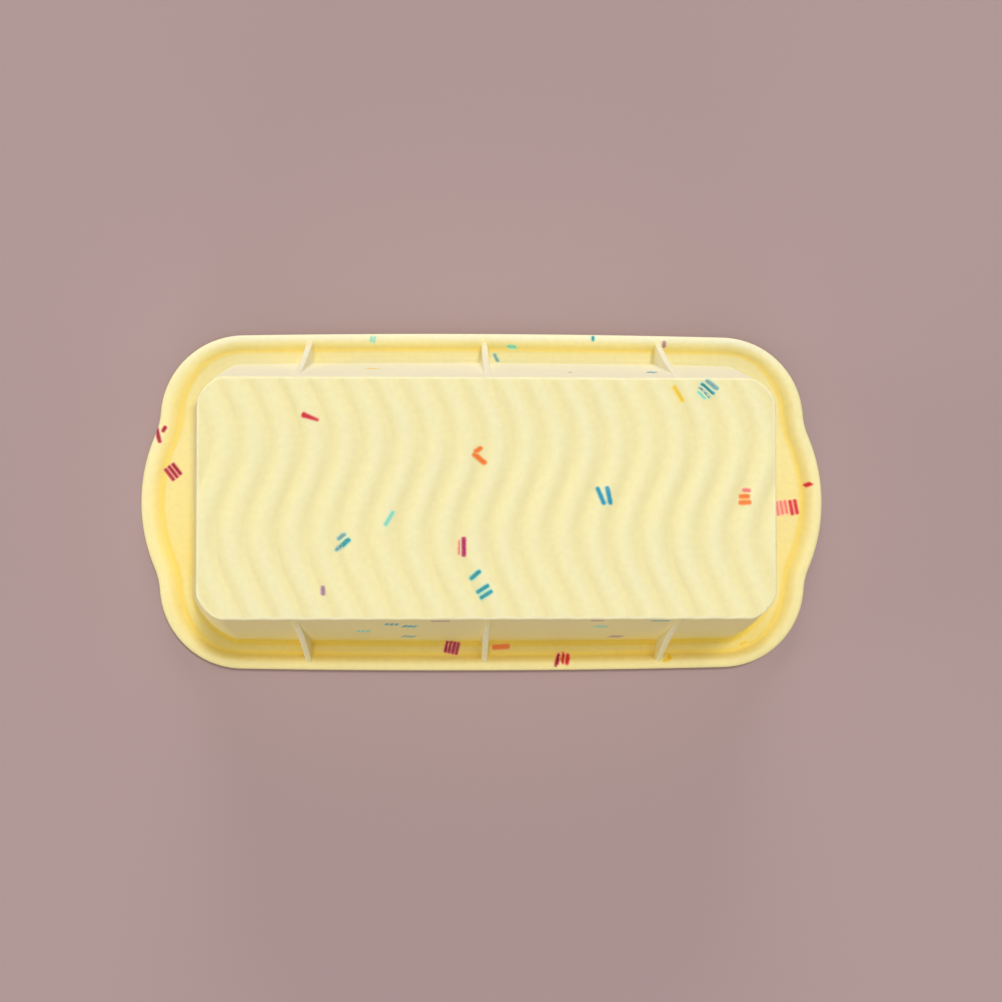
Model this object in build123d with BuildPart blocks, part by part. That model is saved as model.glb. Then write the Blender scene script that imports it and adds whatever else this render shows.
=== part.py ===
"""A flexible silicone loaf mould, resting base up on its rim, as it lies while it dries.

Frame: origin at the centre of the rim's flat underside, +X along the length, +Y across,
+Z up towards the base. Millimetres. Turned over about X, it stands on its base to be filled.
"""
import os
from collections import namedtuple
from math import atan2, cos, degrees, pi, radians, sin, sqrt

from build123d import *

os.makedirs("parts", exist_ok=True)

# Overall
LENGTH = 275.0
WIDTH = 136.0
HEIGHT = 65.0
SKIN = 2.5  # thickness of the walls, the base and the flange

# Rim outline: bowed long sides, round corners and a bulged finger grip at each end
CORNER_X = 96.5
CORNER_Y = 33.5
CORNER_R = 33.5
GRIP_R = 68.5
GRIP_BLEND_R = 28.0

# Bead round the rim, with the groove at its inner foot
BEAD_WIDTH = 6.4
BEAD_HEIGHT = 6.0
BEAD_ROUND = 3.1
GROOVE_WIDTH = 1.2
GROOVE_DEPTH = 0.6

# Steel ring cast inside the bead
WIRE_D = 3.0
WIRE_Z = 3.0

# Bowl: walls that lean in from their foot on the flange to the base
FOOT_HALF_LENGTH = 117.7
FOOT_HALF_WIDTH = 55.5
FOOT_CORNER_R = 17.5
BASE_HALF_LENGTH = 106.3
BASE_HALF_WIDTH = 44.1
BASE_CORNER_R = 9.0
BASE_EDGE_ROUND = 1.6
FOOT_FLARE = 2.0

# Wave ridges moulded across the base
RIDGE_PITCH = 11.0
RIDGE_WIDTH = 9.2
RIDGE_HEIGHT = 1.1
RIDGE_ROOT = 0.4
RIDGE_REACH = 10  # ridges on each side of the middle one
RIDGE_EDGE_GAP = 1.6
RIDGE_END_ROUND = 0.9
LEAST_RIDGE = 15.0  # a shorter end of a ridge, in cubic millimetres, is left out
WAVE_OFFSET = -0.85
WAVE_SWING = 5.3
WAVE_LENGTH = 73.4
WAVE_START = 2.2
WAVE_LEAN = -0.051
WAVE_SECTIONS = 13

# Gussets between the long walls and the bead
GUSSET_SPACING = 70.4
GUSSET_THICKNESS = 2.4
GUSSET_FOOT_INSET = 3.4
GUSSET_FOOT_Z = 5.9
GUSSET_WAIST_STANDOFF = 6.0
GUSSET_WAIST_Z = 20.0
GUSSET_TOP_Z = 60.0
GUSSET_TOP_INSET = 0.4  # how far inside the wall's face the sloping edge ends
GUSSET_ROUND = 0.8

# Coloured chips of the same silicone, cast flush with its surface
CHIP_DEPTH = 1.0
CHIP_CLEAR = 4.0
CHIP_WIDTH = 1.1
CHIP_PITCH = 1.8

DRAFT = FOOT_HALF_WIDTH - BASE_HALF_WIDTH
DRAFT_RISE = HEIGHT - RIDGE_HEIGHT - SKIN
DRAFT_ANGLE = atan2(DRAFT, DRAFT_RISE)
VALLEY_Z = HEIGHT - RIDGE_HEIGHT
WAVE_HALF_SPAN = BASE_HALF_WIDTH + 1.9

# A chip is a row of parallel bars. where: "base", "flange", "bead", or a wall's facing in degrees
# x, y: its middle, seen from above, or along the wall and the height up it
# turn: the bars' direction from x. lengths: one for each bar. taper: far end's width over near end's
Chip = namedtuple(
    "Chip", "where x y turn lengths pitch width taper", defaults=(CHIP_PITCH, CHIP_WIDTH, 1.0)
)
NEAR, FAR, RIGHT, LEFT = -90, 90, 0, 180

CHIPS = {
    "crimson": [
        Chip("bead", -130.6, 26.5, -78, (5.2,)),
        Chip("bead", -128.3, 29.0, 60, (1.6,)),
        Chip("flange", -125.2, 12.0, -52, (4.8, 4.9, 4.6)),
        Chip("flange", -13.0, -58.7, 77, (4.1, 4.2, 4.2, 4.0), 1.45),
        Chip("bead", 29.6, -63.6, 70, (3.6,)),
    ],
    "red": [
        Chip("base", -64.6, 29.2, -20, (5.4,), CHIP_PITCH, 1.7, 0.3),
        Chip("flange", 126.3, -2.1, -79, (5.0, 5.0), 2.0),
        Chip("bead", 131.9, 7.1, 35, (1.4,)),
        Chip("bead", 32.6, -63.0, 74, (2.2, 2.4), 2.0),
    ],
    "rose": [
        Chip("flange", 121.4, -2.3, -80, (4.8, 4.6, 4.6)),
        Chip("base", -10.1, -17.9, 88, (4.2,)),
        Chip("base", 94.6, 2.8, 0, (1.4,)),
        Chip(RIGHT, -14.0, 40.0, 70, (4.4, 4.2)),
    ],
    "orange": [
        Chip("base", -3.4, 14.4, -41, (4.4,), CHIP_PITCH, 1.5),
        Chip("base", -3.8, 17.6, 37, (2.0,)),
        Chip("base", 93.9, -0.5, 3, (2.8, 2.1), 2.2, 1.3),
        Chip("flange", 6.8, -58.6, 4, (5.6,), CHIP_PITCH, 2.0),
        Chip(LEFT, 11.0, 33.0, 20, (4.6, 4.4, 3.0)),
    ],
    "amber": [
        Chip("base", 69.6, 38.3, -59, (5.6,)),
        Chip("bead", 73.4, -63.9, 30, (1.9,)),
        Chip("bead", 74.9, -62.6, 30, (1.9,)),
        Chip("flange", 105.4, -57.4, 25, (2.4,)),
        Chip(NEAR, -88.0, 9.0, 8, (4.4,)),
        Chip(NEAR, -54.0, 8.0, 5, (4.2,)),
        Chip(FAR, 44.0, 30.0, -35, (4.6, 4.6)),
    ],
    "magenta": [
        Chip("base", -8.7, -17.7, -90, (5.8,)),
        Chip(LEFT, -18.0, 45.0, 62, (4.6,)),
    ],
    "mauve": [
        Chip("base", -59.7, -33.5, -86, (2.2,)),
        Chip(NEAR, -17.4, 60.2, 3, (5.4,), CHIP_PITCH, 2.0),
        Chip(NEAR, 40.0, 60.4, 3, (3.4,), CHIP_PITCH, 1.8),
        Chip(NEAR, 51.8, 15.5, 68, (4.0, 4.4, 4.2)),
        Chip("bead", 73.0, 63.6, 0, (1.0,)),
    ],
    "teal": [
        Chip("base", 80.3, 40.0, -45, (5.0,), CHIP_PITCH, 1.4),
        Chip("base", -51.8, -16.4, 43, (3.5,), CHIP_PITCH, 1.6),
        Chip("base", -4.6, -27.9, 42, (3.5,), CHIP_PITCH, 1.5),
        Chip("base", -1.9, -32.9, 33, (3.9,), CHIP_PITCH, 1.4),
        Chip("base", -0.7, -35.0, 33, (3.9,), CHIP_PITCH, 1.4),
        Chip("bead", 44.0, 66.2, 0, (1.1,)),
        Chip(NEAR, -29.0, 46.5, 72, (4.2, 4.6, 4.8)),
        Chip(NEAR, 63.3, 59.6, 2, (5.4,), CHIP_PITCH, 2.2),
        Chip(RIGHT, 17.0, 28.0, -48, (4.6, 4.8, 4.4)),
    ],
    "blue": [
        Chip("base", 41.0, 0.8, -68, (5.6,)),
        Chip("base", 43.8, 1.0, -78, (5.4,)),
        Chip(FAR, -63.0, 41.0, 66, (4.8, 4.6)),
    ],
    "slate": [
        Chip("base", 82.0, 41.6, -41, (4.4,), CHIP_PITCH, 1.0),
        Chip("base", 78.9, 38.6, -46, (4.4,), CHIP_PITCH, 0.8),
        Chip("base", -53.0, -14.0, 40, (2.4,)),
        Chip("base", -54.3, -18.2, 40, (1.6,)),
        Chip("flange", 4.8, 58.5, -64, (2.8,)),
        Chip(NEAR, -35.4, 52.0, 80, (4.4, 4.6, 4.4)),
        Chip(NEAR, -30.0, 18.0, 70, (4.2, 4.4, 4.0)),
        Chip(FAR, -31.6, 43.0, 0, (1.1,)),
    ],
    "mint": [
        Chip("base", -36.0, -7.4, 59, (5.0,)),
        Chip("base", 77.9, 37.6, -47, (3.0,), CHIP_PITCH, 0.7),
        Chip("bead", -45.0, 65.4, 80, (1.8, 1.5), 1.2, 0.6),
        Chip("bead", 11.2, 62.4, -3, (2.8,), CHIP_PITCH, 0.6),
        Chip(NEAR, 42.8, 45.0, 76, (4.0, 4.4, 4.2)),
        Chip(NEAR, -47.0, 33.0, 80, (4.2, 4.2, 3.8)),
        Chip(LEFT, -4.0, 14.0, -30, (4.2,)),
    ],
}


def bearing(start, end):
    """Angle in degrees of the direction from one point to another."""
    return degrees(atan2(end.Y - start.Y, end.X - start.X))


def blend_centre(first, first_r, second, second_r, blend_r):
    """Centre of the hollow arc that touches two round arcs, on their right as seen from the first."""
    gap = (second - first).length
    along = (gap**2 + (first_r + blend_r) ** 2 - (second_r + blend_r) ** 2) / (2 * gap)
    out = sqrt((first_r + blend_r) ** 2 - along**2)
    axis = (second - first) / gap
    return first + axis * along + Vector(axis.Y, -axis.X) * out


def wave_x(y):
    """X of the middle ridge's crest where it crosses y."""
    return WAVE_OFFSET + WAVE_SWING * sin(2 * pi * (y - WAVE_START) / WAVE_LENGTH) + WAVE_LEAN * y


def wall_lean(z):
    """How far the walls have leaned in from their foot at height z."""
    return DRAFT * (z - SKIN) / DRAFT_RISE


def wall_plane(facing, along, z):
    """Plane lying on a wall, with its own X along the wall and its own Y up it."""
    half = FOOT_HALF_LENGTH if facing in (LEFT, RIGHT) else FOOT_HALF_WIDTH
    out_x, out_y = cos(radians(facing)), sin(radians(facing))
    reach = half - wall_lean(z)
    origin = (reach * out_x - along * out_y, reach * out_y + along * out_x, z)
    normal = (out_x * cos(DRAFT_ANGLE), out_y * cos(DRAFT_ANGLE), sin(DRAFT_ANGLE))
    return Plane(origin=origin, x_dir=(-out_y, out_x, 0), z_dir=normal)


def chip_floor(chip):
    """Plane under a chip, from which it rises to the surface, with its own X along the bars."""
    if chip.where == "base":
        floor = Plane((chip.x, chip.y, VALLEY_Z - CHIP_DEPTH))
    elif chip.where == "flange":
        floor = Plane((chip.x, chip.y, SKIN - CHIP_DEPTH))
    elif chip.where == "bead":
        floor = Plane((chip.x, chip.y, SKIN))
    else:
        floor = wall_plane(chip.where, chip.x, chip.y).offset(-CHIP_DEPTH)
    along = floor.x_dir * cos(radians(chip.turn)) + floor.y_dir * sin(radians(chip.turn))
    return Plane(origin=floor.origin, x_dir=along, z_dir=floor.z_dir)


# A quarter of the rim outline: side bow, corner, hollow blend and grip, each touching the next
side_rise = WIDTH / 2 - CORNER_Y
side_r = (CORNER_X**2 + side_rise**2 - CORNER_R**2) / (2 * (side_rise - CORNER_R))
side_centre = Vector(0, WIDTH / 2 - side_r)
corner_centre = Vector(CORNER_X, CORNER_Y)
grip_centre = Vector(LENGTH / 2 - GRIP_R, 0)
hollow_centre = blend_centre(grip_centre, GRIP_R, corner_centre, CORNER_R, GRIP_BLEND_R)
side_end = bearing(side_centre, corner_centre)
corner_end = bearing(corner_centre, hollow_centre)
grip_end = bearing(grip_centre, hollow_centre)

with BuildSketch() as rim_outline:
    with BuildLine():
        CenterArc(side_centre, side_r, 90, side_end - 90)
        CenterArc(corner_centre, CORNER_R, side_end, corner_end - side_end)
        CenterArc(hollow_centre, GRIP_BLEND_R, 180 + corner_end, grip_end - corner_end)
        CenterArc(grip_centre, GRIP_R, grip_end, -grip_end)
        mirror(about=Plane.YZ)
        mirror(about=Plane.XZ)
    make_face()

# The steel ring, bent to the middle of the bead
with BuildSketch() as wire_outline:
    offset(rim_outline.sketch, amount=-BEAD_WIDTH / 2)

wire_path = wire_outline.wire().moved(Location((0, 0, WIRE_Z)))
with BuildPart() as rim_wire:
    with BuildSketch(Plane(origin=wire_path @ 0, z_dir=wire_path % 0)):
        Circle(WIRE_D / 2)
    sweep(path=wire_path)

# Round-topped bead, and the same shape a chip's depth smaller, which the chips stop at
with BuildPart() as bead:
    with BuildSketch():
        add(rim_outline.sketch)
        offset(rim_outline.sketch, amount=-BEAD_WIDTH, mode=Mode.SUBTRACT)
    extrude(amount=BEAD_HEIGHT)
    fillet(bead.edges().group_by(Axis.Z)[-1], BEAD_ROUND)

with BuildPart() as bead_core:
    with BuildSketch():
        offset(rim_outline.sketch, amount=-CHIP_DEPTH)
        offset(rim_outline.sketch, amount=CHIP_DEPTH - BEAD_WIDTH, mode=Mode.SUBTRACT)
    extrude(amount=BEAD_HEIGHT - CHIP_DEPTH)
    fillet(bead_core.edges().group_by(Axis.Z)[-1], BEAD_ROUND - CHIP_DEPTH)

# One wave ridge, lofted through equal round-topped sections, then repeated along the base
with BuildPart() as ridge:
    for step in range(WAVE_SECTIONS):
        y = WAVE_HALF_SPAN * (1 - 2 * step / (WAVE_SECTIONS - 1))
        section = Plane(origin=(wave_x(y), y, VALLEY_Z), x_dir=(1, 0, 0), z_dir=(0, -1, 0))
        with BuildSketch(section):
            with BuildLine():
                ThreePointArc((-RIDGE_WIDTH / 2, 0), (0, RIDGE_HEIGHT), (RIDGE_WIDTH / 2, 0))
                Line((RIDGE_WIDTH / 2, 0), (RIDGE_WIDTH / 2, -RIDGE_ROOT))
                Line((RIDGE_WIDTH / 2, -RIDGE_ROOT), (-RIDGE_WIDTH / 2, -RIDGE_ROOT))
                Line((-RIDGE_WIDTH / 2, -RIDGE_ROOT), (-RIDGE_WIDTH / 2, 0))
            make_face()
    loft()


def ridges_within(half_length, half_width, corner_r):
    """The ridges that lie inside a round-cornered field, rounded down at its edge."""
    with BuildPart() as field:
        with BuildSketch(Plane.XY.offset(VALLEY_Z - RIDGE_ROOT)):
            RectangleRounded(2 * half_length, 2 * half_width, corner_r)
        extrude(amount=RIDGE_ROOT + RIDGE_HEIGHT)
        fillet(field.edges().group_by(Axis.Z)[-1], RIDGE_END_ROUND)
    with BuildPart() as ridges:
        with Locations([(RIDGE_PITCH * i, 0) for i in range(-RIDGE_REACH, RIDGE_REACH + 1)]):
            add(ridge.part)
        add(field.part, mode=Mode.INTERSECT)
    return ridges.solids().filter_by(lambda piece: piece.volume > LEAST_RIDGE)


base_ridges = ridges_within(
    BASE_HALF_LENGTH - RIDGE_EDGE_GAP, BASE_HALF_WIDTH - RIDGE_EDGE_GAP, BASE_CORNER_R - RIDGE_EDGE_GAP
)
floor_gap = RIDGE_EDGE_GAP + SKIN
floor_ridges = ridges_within(
    BASE_HALF_LENGTH - floor_gap, BASE_HALF_WIDTH - floor_gap, BASE_CORNER_R - floor_gap
)

# Space inside the bowl, from below the mouth up to the wavy floor
with BuildPart() as cavity:
    with BuildSketch(Plane.XY.offset(SKIN)):
        RectangleRounded(
            2 * (FOOT_HALF_LENGTH - SKIN), 2 * (FOOT_HALF_WIDTH - SKIN), FOOT_CORNER_R - SKIN
        )
    with BuildSketch(Plane.XY.offset(VALLEY_Z - SKIN)):
        top_lean = wall_lean(VALLEY_Z - SKIN)
        RectangleRounded(
            2 * (FOOT_HALF_LENGTH - top_lean - SKIN),
            2 * (FOOT_HALF_WIDTH - top_lean - SKIN),
            BASE_CORNER_R - SKIN,
        )
    loft()
    fillet(cavity.edges().group_by(Axis.Z)[-1], BASE_EDGE_ROUND)
    mouth = cavity.faces().sort_by(Axis.Z)[0]
    extrude(mouth, amount=SKIN, dir=(0, 0, -1))
    for piece in floor_ridges:
        add(piece.moved(Location((0, 0, -SKIN))))

# A facing pair of gussets, thin blades with a hollow sloping edge
with BuildPart() as gussets:
    top_y = FOOT_HALF_WIDTH - wall_lean(GUSSET_TOP_Z) - GUSSET_TOP_INSET
    waist_y = FOOT_HALF_WIDTH - wall_lean(GUSSET_WAIST_Z) + GUSSET_WAIST_STANDOFF
    foot_y = WIDTH / 2 - GUSSET_FOOT_INSET
    with BuildSketch(Plane.YZ):
        with BuildLine():
            ThreePointArc((top_y, GUSSET_TOP_Z), (waist_y, GUSSET_WAIST_Z), (foot_y, GUSSET_FOOT_Z))
            Line((foot_y, GUSSET_FOOT_Z), (foot_y, SKIN / 2))
            Line((foot_y, SKIN / 2), (top_y, SKIN / 2))
            Line((top_y, SKIN / 2), (top_y, GUSSET_TOP_Z))
        make_face()
    extrude(amount=GUSSET_THICKNESS / 2, both=True)
    fillet(gussets.edges().filter_by(GeomType.CIRCLE), GUSSET_ROUND)
    mirror(about=Plane.XZ)

# The whole silicone moulding before the chips take their places in it
with BuildPart() as blank:
    with BuildSketch(Plane.XY.offset(SKIN)):
        RectangleRounded(2 * FOOT_HALF_LENGTH, 2 * FOOT_HALF_WIDTH, FOOT_CORNER_R)
    with BuildSketch(Plane.XY.offset(VALLEY_Z)):
        RectangleRounded(2 * BASE_HALF_LENGTH, 2 * BASE_HALF_WIDTH, BASE_CORNER_R)
    loft()
    fillet(blank.edges().group_by(Axis.Z)[-1], BASE_EDGE_ROUND)
    with BuildSketch(Plane.XY.offset(SKIN)):
        RectangleRounded(
            2 * (FOOT_HALF_LENGTH + FOOT_FLARE),
            2 * (FOOT_HALF_WIDTH + FOOT_FLARE),
            FOOT_CORNER_R + FOOT_FLARE,
        )
    with BuildSketch(Plane.XY.offset(SKIN + FOOT_FLARE)):
        RectangleRounded(2 * FOOT_HALF_LENGTH, 2 * FOOT_HALF_WIDTH, FOOT_CORNER_R)
    loft()
    with BuildSketch():
        offset(rim_outline.sketch, amount=-BEAD_WIDTH / 2)
    extrude(amount=SKIN)
    with BuildSketch(Plane.XY.offset(SKIN - GROOVE_DEPTH)):
        offset(rim_outline.sketch, amount=-BEAD_WIDTH)
        offset(rim_outline.sketch, amount=-BEAD_WIDTH - GROOVE_WIDTH, mode=Mode.SUBTRACT)
    extrude(amount=2 * GROOVE_DEPTH, mode=Mode.SUBTRACT)
    add(bead.part)
    for piece in base_ridges:
        add(piece)
    for x in (-GUSSET_SPACING, 0, GUSSET_SPACING):
        with Locations((x, 0)):
            add(gussets.part)
    add(cavity.part, mode=Mode.SUBTRACT)
    add(rim_wire.part, mode=Mode.SUBTRACT)


def bars(chip):
    """A chip's bars, side by side, each a blade that may narrow towards its far end."""
    with BuildPart() as blades:
        for row, length in enumerate(chip.lengths):
            shift = (row - (len(chip.lengths) - 1) / 2) * chip.pitch
            near_end, far_end = chip.width / 2, chip.width * chip.taper / 2
            with BuildSketch(chip_floor(chip)):
                with Locations((0, shift)):
                    Polygon(
                        (-length / 2, -near_end),
                        (length / 2, -far_end),
                        (length / 2, far_end),
                        (-length / 2, near_end),
                        align=None,
                    )
            extrude(amount=CHIP_DEPTH + CHIP_CLEAR)
    return blades.part


# Chips, one node for each colour, each bar a solid of its own that stops at the surface
chip_parts = {}
for colour, chips in CHIPS.items():
    with BuildPart() as inlay:
        for chip in chips:
            add(bars(chip))
        add(blank.part, mode=Mode.INTERSECT)
        add(bead_core.part, mode=Mode.SUBTRACT)
    chip_parts[colour] = inlay.part

with BuildPart() as mould_body:
    add(blank.part)
    for chip_part in chip_parts.values():
        add(chip_part, mode=Mode.SUBTRACT)

mould_body.part.label = "mould_body"
export_step(mould_body.part, "parts/mould_body.step")

rim_wire.part.label = "rim_wire"
export_step(rim_wire.part, "parts/rim_wire.step")

for colour, chip_part in chip_parts.items():
    chip_part.label = colour + "_chips"
    export_step(chip_part, f"parts/{colour}_chips.step")
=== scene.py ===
"""Looks for the flexible loaf mould: the silicone skin, its coloured chips, light and camera."""
import math

import bmesh
import bpy
import numpy as np
from mathutils import Matrix, Vector, noise
from mathutils.bvhtree import BVHTree


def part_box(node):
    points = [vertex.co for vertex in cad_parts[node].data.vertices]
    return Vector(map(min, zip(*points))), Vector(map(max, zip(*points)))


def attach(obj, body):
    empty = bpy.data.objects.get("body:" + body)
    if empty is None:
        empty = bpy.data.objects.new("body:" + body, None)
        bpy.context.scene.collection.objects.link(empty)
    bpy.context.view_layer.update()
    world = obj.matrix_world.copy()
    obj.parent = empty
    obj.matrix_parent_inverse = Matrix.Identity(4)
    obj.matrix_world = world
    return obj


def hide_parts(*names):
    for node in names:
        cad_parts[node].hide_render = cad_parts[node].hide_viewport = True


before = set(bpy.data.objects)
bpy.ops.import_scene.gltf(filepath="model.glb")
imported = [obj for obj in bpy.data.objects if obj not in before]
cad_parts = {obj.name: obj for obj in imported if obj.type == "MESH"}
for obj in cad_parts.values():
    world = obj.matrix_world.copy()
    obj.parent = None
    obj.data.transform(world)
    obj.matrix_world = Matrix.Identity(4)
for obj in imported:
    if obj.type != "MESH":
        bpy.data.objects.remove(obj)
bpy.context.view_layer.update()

MM = 0.001
TAU = 2 * math.pi

# Sizes in millimetres. The outer ones come from the frame.
cad_low, cad_high = (Vector(corner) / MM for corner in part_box("mould_body"))
LENGTH = cad_high.x - cad_low.x
WIDTH = cad_high.y - cad_low.y
HEIGHT = cad_high.z - cad_low.z
SKIN = 2.5

CORNER_X, CORNER_Y, CORNER_R = 96.5, 33.5, 33.5
GRIP_R = 68.5
GRIP_BLEND_R = 28.0

BEAD_WIDTH = 6.2
GRIP_BEAD_WIDTH = 8.0  # the bead is broader round the grips
GRIP_START, GRIP_FULL = 112.0, 132.0
BEAD_HEIGHT = 5.5
BEAD_CREST = 1.5
SLOPE_LAG = 1.8  # above one keeps the bead high before it slopes into the groove
BEAD_ROUND = 1.6
BEAD_UNDER_ROUND = 3.6
GROOVE_WIDTH = 1.6
GROOVE_DEPTH = 0.2
WIRE_R = 1.5
WIRE_Z = 3.0
WIRE_INSET = 3.2

FOOT_HALF_LENGTH = 116.9
FOOT_HALF_WIDTH = 55.5
FOOT_CORNER_R = 17.5
FOOT_ROUND = 2.2
BASE_HALF_WIDTH = 44.1
BASE_CORNER_R = 9.0
LEAST_CORNER_R = 0.5
CORNER_CREASE = math.radians(20)  # by how much the walls turn at once where a flattened corner begins
BASE_EDGE_ROUND = 0.9
FOOT_BOW = 1.0  # the long walls bulge this much at their foot
MOUTH_ROUND = 1.2

RIDGE_PITCH = 11.0
RIDGE_HEIGHT = 1.1
RIDGE_CREST_SHARE = 0.41
WAVE_OFFSET = -0.85
WAVE_SWING = 5.3
WAVE_LENGTH = 73.4
WAVE_START = 2.2
WAVE_LEAN = -0.051

GUSSET_SPACING = 70.4
GUSSET_HALF_THICKNESS = 1.2
GUSSET_TOP_ROUND = 0.8
GUSSET_ROOT_ROUND = 1.7
GUSSET_TOP_Z = 62.4
GUSSET_TOP_STANDOFF = 0.25
GUSSET_WAIST_STANDOFF = 5.8
GUSSET_WAIST_Z = 20.0
GUSSET_FOOT_INSET = 3.4

# Painted shade: how deep and saturated the silicone's colour is painted, from 0 on open faces to 1 in
# corners, standing in for shade and for light bounced between its own faces. Pairs are for the near and the
# far side; the near side is painted more shaded and the far side paler, for how the light falls.
UNDER_BEAD_SHADE = (0.9, 0.35)
BEAD_SHADE = (0.45, 0.05)
SLOPE_GAIN = (0.5, 0.8)  # painted shade added by the foot of the bead's slope
SLOPE_GAIN_POWER = (3, 2)
GROOVE_SHADE = (1.0, 0.85)
GROOVE_LOSS = (0.25, 0.5)  # painted shade lost by the groove's inner side
PLATEAU_SHADE = (0.75, 0.3)
FOOT_SHADE = (0.98, 0.15)
WALL_SHADE = (0.42, 0.0)
WALL_FOOT_GAIN = (0.4, 0.0)
WALL_FOOT_POWER = 5
EDGE_SHADE = 0.1
BASE_SHADE = 0.125
VALLEY_GAIN = 0.12  # painted shade added in the valleys of the base
UNDERSIDE_SHADE = 0.15
LIP_SHADE = 0.2
INSIDE_GAIN = 0.3  # painted shade added by the top of the inside walls
INSIDE_EDGE_SHADE = 0.5
INSIDE_BASE_SHADE = 0.45
GUSSET_FADE = 0.8  # the share of its painted shade that a gusset loses where it stands high
GUSSET_FADE_FROM, GUSSET_FADE_TO = 0.5, 3.0

CHIP_DEPTH = 0.8
CHIP_MARGIN = 0.85
CHIP_CORE = 0.78  # how much of a bar's half width its full colour fills
CHIP_STEP = 0.45
CHIP_PROUD = 0.045
CHIP_ROOM = 0.08  # the crests lie this much lower, for the chips on them
CHIP_LEVELS = 4
CHIP_LEVEL_STEP = 0.008  # neighbouring bars lie on different levels, so that they don't share a face
CHIP_WOBBLE = 0.09
CHIP_END_INSET = 0.04
DROP_FROM, DROP_REACH = 4.0, 9.0  # a chip's points are dropped onto the skin from here, over this much
# Across a chip: how far out on its bar, and how far out in the margin beside it
CHIP_CROSS = ((-1, 1), (-1, 0.5), (-1, 0), (-0.6, 0), (0, 0), (0.6, 0), (1, 0), (1, 0.5), (1, 1))
CORE_FADE = 0.3  # how faded a bar is at its sides

VALLEY_Z = HEIGHT - CHIP_ROOM - RIDGE_HEIGHT
DRAFT = FOOT_HALF_WIDTH - BASE_HALF_WIDTH
DRAFT_RISE = VALLEY_Z - SKIN
DRAFT_ANGLE = math.atan2(DRAFT, DRAFT_RISE)


def unit(v):
    """Rows of v scaled to length one."""
    return v / np.maximum(np.linalg.norm(v, axis=-1, keepdims=True), 1e-12)


def smoothstep(low, high, x):
    t = np.clip((x - low) / (high - low), 0.0, 1.0)
    return t * t * (3 - 2 * t)


# ---------------------------------------------------------------- outline of the rim


def arc(centre, radius, start, end, count=160):
    """Points along an arc, and its centre side's opposite: the direction away from the centre."""
    a = np.linspace(start, end, count)
    out = np.stack([np.cos(a), np.sin(a)], 1)
    return np.array(centre) + radius * out, out


def rim_outline():
    """Closed outline of the rim and its outward normals, sampled finely, anticlockwise from +X."""
    rise = WIDTH / 2 - CORNER_Y
    side_r = (CORNER_X**2 + rise**2 - CORNER_R**2) / (2 * (rise - CORNER_R))
    side = np.array([0.0, WIDTH / 2 - side_r])
    corner = np.array([CORNER_X, CORNER_Y])
    grip = np.array([LENGTH / 2 - GRIP_R, 0.0])
    gap = np.linalg.norm(corner - grip)
    along = (gap**2 + (GRIP_R + GRIP_BLEND_R) ** 2 - (CORNER_R + GRIP_BLEND_R) ** 2) / (2 * gap)
    out = math.sqrt((GRIP_R + GRIP_BLEND_R) ** 2 - along**2)
    axis = (corner - grip) / gap
    hollow = grip + axis * along + np.array([axis[1], -axis[0]]) * out

    def bearing(a, b):
        return math.atan2(b[1] - a[1], b[0] - a[0])

    grip_end, corner_start, side_start = bearing(grip, hollow), bearing(corner, hollow), bearing(side, corner)
    grip_points, grip_normals = arc(grip, GRIP_R, 0.0, grip_end)
    hollow_points, hollow_normals = arc(hollow, GRIP_BLEND_R, math.pi + grip_end, math.pi + corner_start)
    corner_points, corner_normals = arc(corner, CORNER_R, corner_start, side_start)
    side_points, side_normals = arc(side, side_r, side_start, math.pi / 2)
    points = np.concatenate([grip_points[:-1], hollow_points[:-1], corner_points[:-1], side_points])
    normals = np.concatenate([grip_normals[:-1], -hollow_normals[:-1], corner_normals[:-1], side_normals])
    mirror = np.array([-1.0, 1.0])
    points = np.concatenate([points, (points * mirror)[-2::-1]])
    normals = np.concatenate([normals, (normals * mirror)[-2::-1]])
    points = np.concatenate([points, -points[1:-1]])
    normals = np.concatenate([normals, -normals[1:-1]])
    return points, unit(normals)


OUTLINE, OUTLINE_NORMALS = rim_outline()


def reach_outline(origins, directions):
    """Where rays from inside meet the rim outline, and the outline's normals there."""
    a = OUTLINE
    b = np.roll(OUTLINE, -1, 0)
    n_a = OUTLINE_NORMALS
    n_b = np.roll(OUTLINE_NORMALS, -1, 0)
    e = b - a
    points, normals = np.zeros_like(origins), np.zeros_like(origins)
    for i, (o, d) in enumerate(zip(origins, directions)):
        cross = d[0] * e[:, 1] - d[1] * e[:, 0]
        w = a - o
        along = (w[:, 0] * e[:, 1] - w[:, 1] * e[:, 0]) / np.where(abs(cross) < 1e-12, 1e-12, cross)
        share = (w[:, 0] * d[1] - w[:, 1] * d[0]) / np.where(abs(cross) < 1e-12, 1e-12, cross)
        hit = (along > 0) & (share >= -1e-9) & (share <= 1 + 1e-9)
        k = np.flatnonzero(hit)[np.argmin(along[hit])]
        t = share[k]
        points[i] = a[k] + t * e[k]
        normals[i] = n_a[k] * (1 - t) + n_b[k] * t
    return points, unit(normals)


# ---------------------------------------------------------------- waves of the base


def wave_shift(y):
    return WAVE_SWING * np.sin(TAU * (y - WAVE_START) / WAVE_LENGTH) + WAVE_LEAN * y


def ridge_profile(x, y):
    """Height of the wave relief, from 0 in a valley to 1 on a crest."""
    phase = (x - WAVE_OFFSET - wave_shift(y)) / RIDGE_PITCH
    phase = abs(phase - np.round(phase))
    crest, valley = RIDGE_CREST_SHARE, 0.5 - RIDGE_CREST_SHARE
    return np.where(phase < crest, 1 - 2 / crest * phase**2, 2 / valley * (0.5 - phase) ** 2)


# ---------------------------------------------------------------- rings round the bowl

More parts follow.
